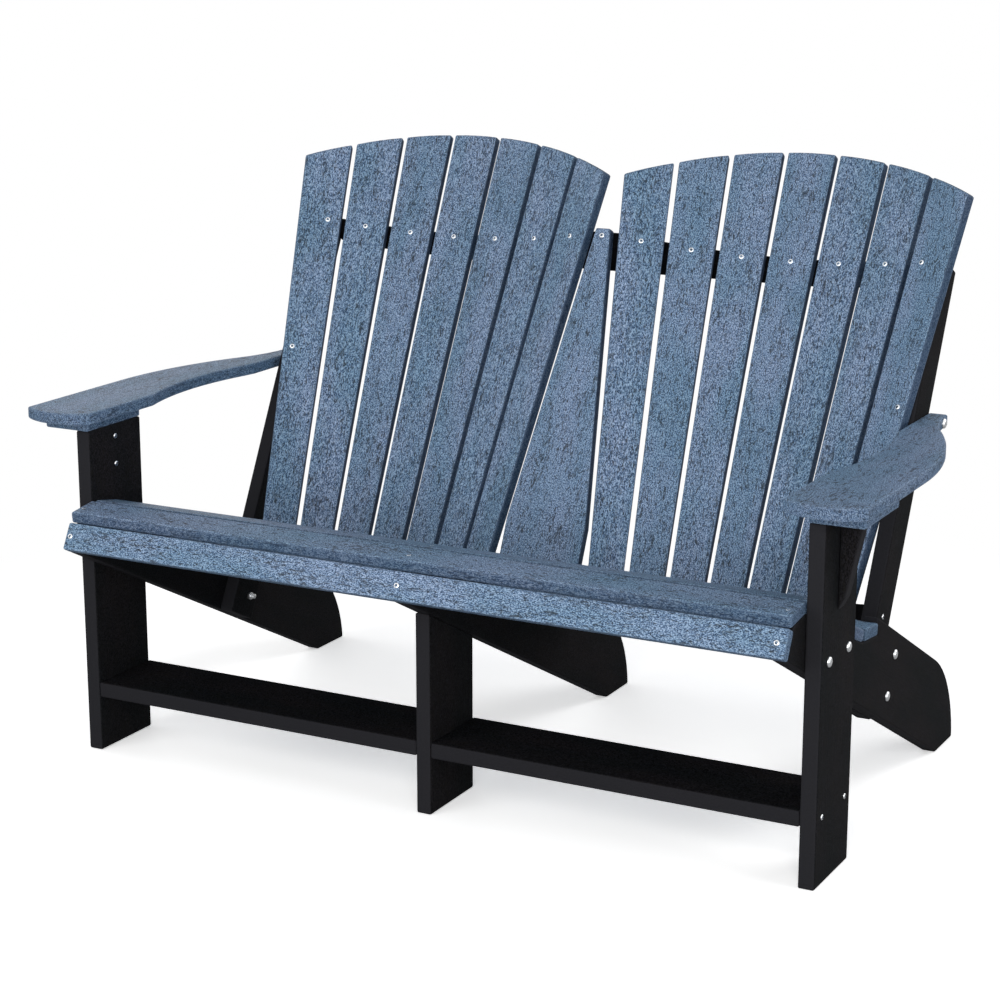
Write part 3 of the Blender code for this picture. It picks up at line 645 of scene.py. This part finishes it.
def seat_spots(number):
    """Place the screws of one seat slat, a little sunk."""
    slat = f"seat_slat_{number}"
    low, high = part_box(slat)
    middle = (low + high) / 2
    y = middle.y - (NOSE_SHIFT if number == 1 else 0)
    wanted = STRINGER_XS[1:2] if number == SEAT_SLATS else STRINGER_XS
    return [seat_on(slat, Vector((x, y, middle.z)), UPWARD) @ FLUSH for x in wanted]


for number in range(1, SEAT_SLATS + 1):
    screw_row(f"seat_screws_{number}", seat_spots(number))
apron_spots = [leaned(x, APRON_U, APRON_V) for x in APRON_XS]
screw_row("apron_screws", [seat_on("front_apron", spot, FORWARD) for spot in apron_spots])

# %% [markdown]
# ## Screws of the legs, brackets and rails
# Two screws through each outer leg hold its foot rail, two more from inside hold its bracket,
# and one through each post holds the end of each back rail.

# %% Screws into legs and posts
FOOT_RAIL_SCREWS = ((0.023, 0.106), (0.117, 0.106))
BRACKET_SCREWS = ((0.06985, 0.5236), (0.06985, 0.4771))
LEG_X, POST_X = 0.642, 0.590
POST_U = 0.236

for word, side in SIDE_WORDS.items():
    outward = Vector((side, 0, 0))
    leg = "front_leg_" + word
    post = "back_post_" + word
    foot = [measured(side * LEG_X, y, z) for y, z in FOOT_RAIL_SCREWS]
    screw_row("foot_rail_screws_" + word, [seat_on(leg, spot, outward) for spot in foot])
    brace = [measured(side * LEG_X, y, z) for y, z in BRACKET_SCREWS]
    screw_row("bracket_screws_" + word, [seat_on(leg, spot, -outward) for spot in brace])
    end = leaned(side * POST_X, POST_U, LOWER_SCREW_V)
    screw_row("rail_end_screws_" + word, [seat_on(post, end, outward)])

# %% [markdown]
# ## Screws into the posts
# The solids already have the screw that ties each outermost slat to its post. The new head has
# the star recess of its neighbours and takes that solid's place.

# %% Replace the two post screws
for word, side in SIDE_WORDS.items():
    solid = "post_screw_" + word
    slat = f"back_slat_{word}_{SLATS_IN_FAN if side > 0 else 1}"
    corners = [vertex.co for vertex in nodes[solid].data.vertices]
    head = max(corners, key=lambda spot: spot.dot(FORWARD))
    screw_row("slat_to_post_screw_" + word, [seat_on(slat, head, FORWARD)], [solid])

# %% [markdown]
# ## Carriage bolts
# The big joints are bolted. A carriage bolt has a smooth, shallow dome and no slot, because a
# square neck keeps it from turning. Its threaded tail shows beyond the nut, so the thread is
# modelled as fine ridges.

# %% Turn the bolts
# The dome's rings: radius, and height above the board.
DOME = ((0.0080, 0.0003), (0.0080, 0.0009), (0.0077, 0.0018), (0.0069, 0.0028), (0.0054, 0.0036),
        (0.0033, 0.0041), (0.0012, 0.0043))
CROWN = 0.0043
SHANK, ROOT = 0.0040, 0.0035
PITCH = 0.00125
RIDGES = 11
TIP_SHARE = 0.9
RIDGE_STEP, VALLEY_STEP, LAST_STEP = 0.4, 0.9, 0.6


def side_of(name):
    """Return -1 for a piece on the left and 1 for one on the right."""
    return -1 if "left" in name else 1


def fixing_frame(name):
    """Return the frame of a bolt or nut at the outer end of its solid, and the solid's length."""
    low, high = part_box(name)
    middle = (low + high) / 2
    side = side_of(name)
    outer = high.x if side > 0 else low.x
    turn = Vector((side, 0, 0)).to_track_quat("Z", "Y").to_matrix().to_4x4()
    return Matrix.Translation((outer, middle.y, middle.z)) @ turn, high.x - low.x


def carriage_bolt(name):
    """Turn one bolt in place of its solid."""
    place, total = fixing_frame(name)
    foot = -(total - CROWN)
    rings = [ring(ROOT * TIP_SHARE, foot)]
    for index in range(RIDGES):
        rings.append(ring(SHANK, foot + PITCH * (index + RIDGE_STEP)))
        rings.append(ring(ROOT, foot + PITCH * (index + VALLEY_STEP)))
    rings.append(ring(SHANK, foot + PITCH * (RIDGES + LAST_STEP)))
    rings.append(ring(SHANK, DOME[0][1]))
    rings += [ring(radius, height) for radius, height in DOME]
    shape = bmesh.new()
    stack(shape, rings, place @ Matrix.Translation((0, 0, -CROWN)))
    return finish_piece("carriage_" + name, shape, [name])


bolts = [carriage_bolt(name) for name in steel_names if "bolt" in name]
print("bolts turned:", len(bolts))

# %% [markdown]
# ## Lock nuts
# The nuts are lock nuts: a hexagon with chamfered corners and a round collar that holds a nylon
# ring. The hexagon is a ring whose reach follows six flats, and the chamfer is the same ring
# held inside a circle.

# %% Shape the nuts
ACROSS_CORNERS = 0.0072
CHAMFER_RADIUS = 0.0066
CHAMFER_SHARE, HEX_SHARE = 0.08, 0.72
# The collar's rings, outside, over the top and down the bore: radius, and share of the thickness.
COLLAR = ((0.0056, HEX_SHARE), (0.0056, 0.9), (0.0052, 1.0), (0.0045, 1.0), (0.0043, 0.96),
          (0.0043, 0.0))


def hexagon(height, limit=ACROSS_CORNERS):
    """List the points of a six-sided ring that stays inside a circle."""
    flat = ACROSS_CORNERS * math.cos(math.pi / HEX)
    points = []
    for step in range(SIDES_ROUND):
        angle = math.tau * step / SIDES_ROUND
        off_flat = (angle + math.pi / HEX) % (math.tau / HEX) - math.pi / HEX
        reach = min(flat / math.cos(off_flat), limit)
        points.append(Vector((reach * math.cos(angle), reach * math.sin(angle), height)))
    return points


def lock_nut(name):
    """Shape one nut in place of its solid."""
    place, thick = fixing_frame(name)
    chamfer = thick * CHAMFER_SHARE
    hex_top = thick * HEX_SHARE
    rings = [hexagon(0, CHAMFER_RADIUS), hexagon(chamfer), hexagon(hex_top - chamfer),
             hexagon(hex_top, CHAMFER_RADIUS)]
    rings += [ring(radius, thick * share) for radius, share in COLLAR]
    shape = bmesh.new()
    inward = place @ Matrix.Rotation(math.pi, 4, "X")
    stack(shape, rings, inward, closed=False)
    return finish_piece("lock_" + name, shape, [name])


nuts = [lock_nut(name) for name in steel_names if "nut" in name]
print("nuts shaped:", len(nuts))

# %% [markdown]
# ## Floor
# The loveseat stands on a seamless white floor. The floor takes the real shadow, but in the
# photograph that shadow is nearly burnt out. So, for the camera alone, the floor is lifted towards
# white, and it fades to plain white away from the feet. The light that it throws back at the
# boards comes from a plain grey, so the lift doesn't brighten them.

# %% Lay the floor
FLOOR_REACH = 30.0
FLOOR_COLOUR = (0.60, 0.60, 0.60, 1)
WHITE = (1.0, 1.0, 1.0, 1.0)
WHITE_TOP_UP = 0.35
SHADE_GAIN = 1.6
SHADE_FROM, SHADE_TO = 0.9, 1.6
FLOOR_DROP = 0.0002


def floor_finish():
    """Make the floor's material: lifted towards white for the camera, plain for other rays."""
    material = bpy.data.materials.new("studio_floor")
    material.use_nodes = True
    tree = material.node_tree
    tree.nodes.clear()
    plain = add_node(tree, "ShaderNodeBsdfDiffuse", Color=FLOOR_COLOUR)
    shaded = add_node(tree, "ShaderNodeBsdfDiffuse", Color=(SHADE_GAIN, SHADE_GAIN, SHADE_GAIN, 1))
    lift = add_node(tree, "ShaderNodeEmission", Color=WHITE, Strength=WHITE_TOP_UP)
    lifted = add_node(tree, "ShaderNodeAddShader")
    tree.links.new(shaded.outputs[0], lifted.inputs[0])
    tree.links.new(lift.outputs[0], lifted.inputs[1])
    spot = add_node(tree, "ShaderNodeTexCoord")
    away = add_node(tree, "ShaderNodeVectorMath", {"operation": "LENGTH"})
    tree.links.new(spot.outputs["Object"], away.inputs[0])
    white = add_node(tree, "ShaderNodeEmission", Color=WHITE, Strength=1.0)
    far = ramp(tree, away.outputs["Value"], SHADE_FROM, SHADE_TO)
    fade = add_node(tree, "ShaderNodeMixShader", Fac=far)
    tree.links.new(lifted.outputs[0], fade.inputs[1])
    tree.links.new(white.outputs[0], fade.inputs[2])
    path = add_node(tree, "ShaderNodeLightPath")
    seen = calculate(tree, "MAXIMUM", path.outputs["Is Camera Ray"],
                     path.outputs["Is Transmission Ray"])
    choose = add_node(tree, "ShaderNodeMixShader", Fac=seen)
    tree.links.new(plain.outputs[0], choose.inputs[1])
    tree.links.new(fade.outputs[0], choose.inputs[2])
    out = add_node(tree, "ShaderNodeOutputMaterial")
    tree.links.new(choose.outputs[0], out.inputs["Surface"])
    return material


def lay_floor():
    """Make a large floor just under the feet."""
    shape = bmesh.new()
    bmesh.ops.create_grid(shape, x_segments=2, y_segments=2, size=FLOOR_REACH)
    mesh = bpy.data.meshes.new("floor")
    shape.to_mesh(mesh)
    shape.free()
    mesh.materials.append(floor_finish())
    floor = bpy.data.objects.new("floor", mesh)
    floor.location.z = cad_low.z - FLOOR_DROP
    bpy.context.scene.collection.objects.link(floor)
    return floor


print("floor at z", round(lay_floor().location.z, 4))

# %% [markdown]
# ## Camera
# The camera stands where the photographer's did: 27.8 degrees round from the front, looking down
# 14.2 degrees. The place and the lens come from fitting straight board edges of known thickness
# in the photograph, so the picture overlays it.

# %% Set the camera
LENS_MM, SENSOR_MM = 86.594, 36.0
CAMERA_PLACE = (1.738760, -3.042119, 1.388840)
CAMERA_DOWN, CAMERA_ROUND = 14.193, 27.812
SIGHT_REACH = 200.0


def set_camera():
    """Make the camera and look through it."""
    data = bpy.data.cameras.new("camera")
    data.lens = LENS_MM
    data.sensor_width = SENSOR_MM
    data.clip_end = SIGHT_REACH
    camera = bpy.data.objects.new("camera", data)
    camera.location = measured(*CAMERA_PLACE)
    camera.rotation_euler = (math.radians(90 - CAMERA_DOWN), 0, math.radians(CAMERA_ROUND))
    bpy.context.scene.collection.objects.link(camera)
    bpy.context.scene.camera = camera
    return camera


print("camera at", [round(value, 3) for value in set_camera().location])

# %% [markdown]
# ## Light
# A white studio. Two broad soft lamps in front light the faces of the boards. A strong one high
# behind, on the right, lights the tops and throws the shadow forward and to the left. Weaker ones
# light the sides and the left from behind, and an even fill comes from everywhere. The backdrop
# is white for the camera and in reflections, while the fill on the boards stays at a plain level.

# %% Light the scene
FILL = 0.17
AIM_AT = Vector((0, 0, 0.45))
# Each lamp: its place, the side of its square, and its power.
LAMPS = {"key": ((1.3, -3.7, 1.5), 2.4, 82.0), "left key": ((-1.6, -3.4, 1.7), 2.4, 36.0),
         "back right": ((3.3, 2.9, 2.6), 2.4, 60.0), "left side": ((-4.0, 0.0, 2.0), 2.4, 24.0),
         "right side": ((4.6, -0.6, 1.0), 1.6, 40.0), "back": ((-3.6, 3.9, 1.7), 2.4, 28.0)}


def white_world():
    """Make the world white to look at, and a weaker even fill as light."""
    world = bpy.data.worlds.new("studio")
    world.use_nodes = True
    tree = world.node_tree
    background = tree.nodes["Background"]
    path = add_node(tree, "ShaderNodeLightPath")
    seen = calculate(tree, "MAXIMUM", path.outputs["Is Camera Ray"], path.outputs["Is Glossy Ray"])
    seen = calculate(tree, "MAXIMUM", seen, path.outputs["Is Transmission Ray"])
    strength = ramp(tree, seen, 0.0, 1.0, FILL, 1.0)
    background.inputs["Color"].default_value = WHITE
    tree.links.new(strength, background.inputs["Strength"])
    bpy.context.scene.world = world


def soft_lamp(name, place, size, watts):
    """Hang a square lamp that looks at the middle of the seat."""
    data = bpy.data.lights.new(name, "AREA")
    data.size = size
    data.energy = watts
    lamp = bpy.data.objects.new(name, data)
    lamp.location = place
    lamp.rotation_euler = (AIM_AT - lamp.location).to_track_quat("-Z", "Y").to_euler()
    bpy.context.scene.collection.objects.link(lamp)


white_world()
for name, (place, size, watts) in LAMPS.items():
    soft_lamp(name, Vector(place), size, watts)
bpy.context.scene.view_settings.view_transform = "Standard"
print("lamps", sorted(LAMPS), "fill", FILL)
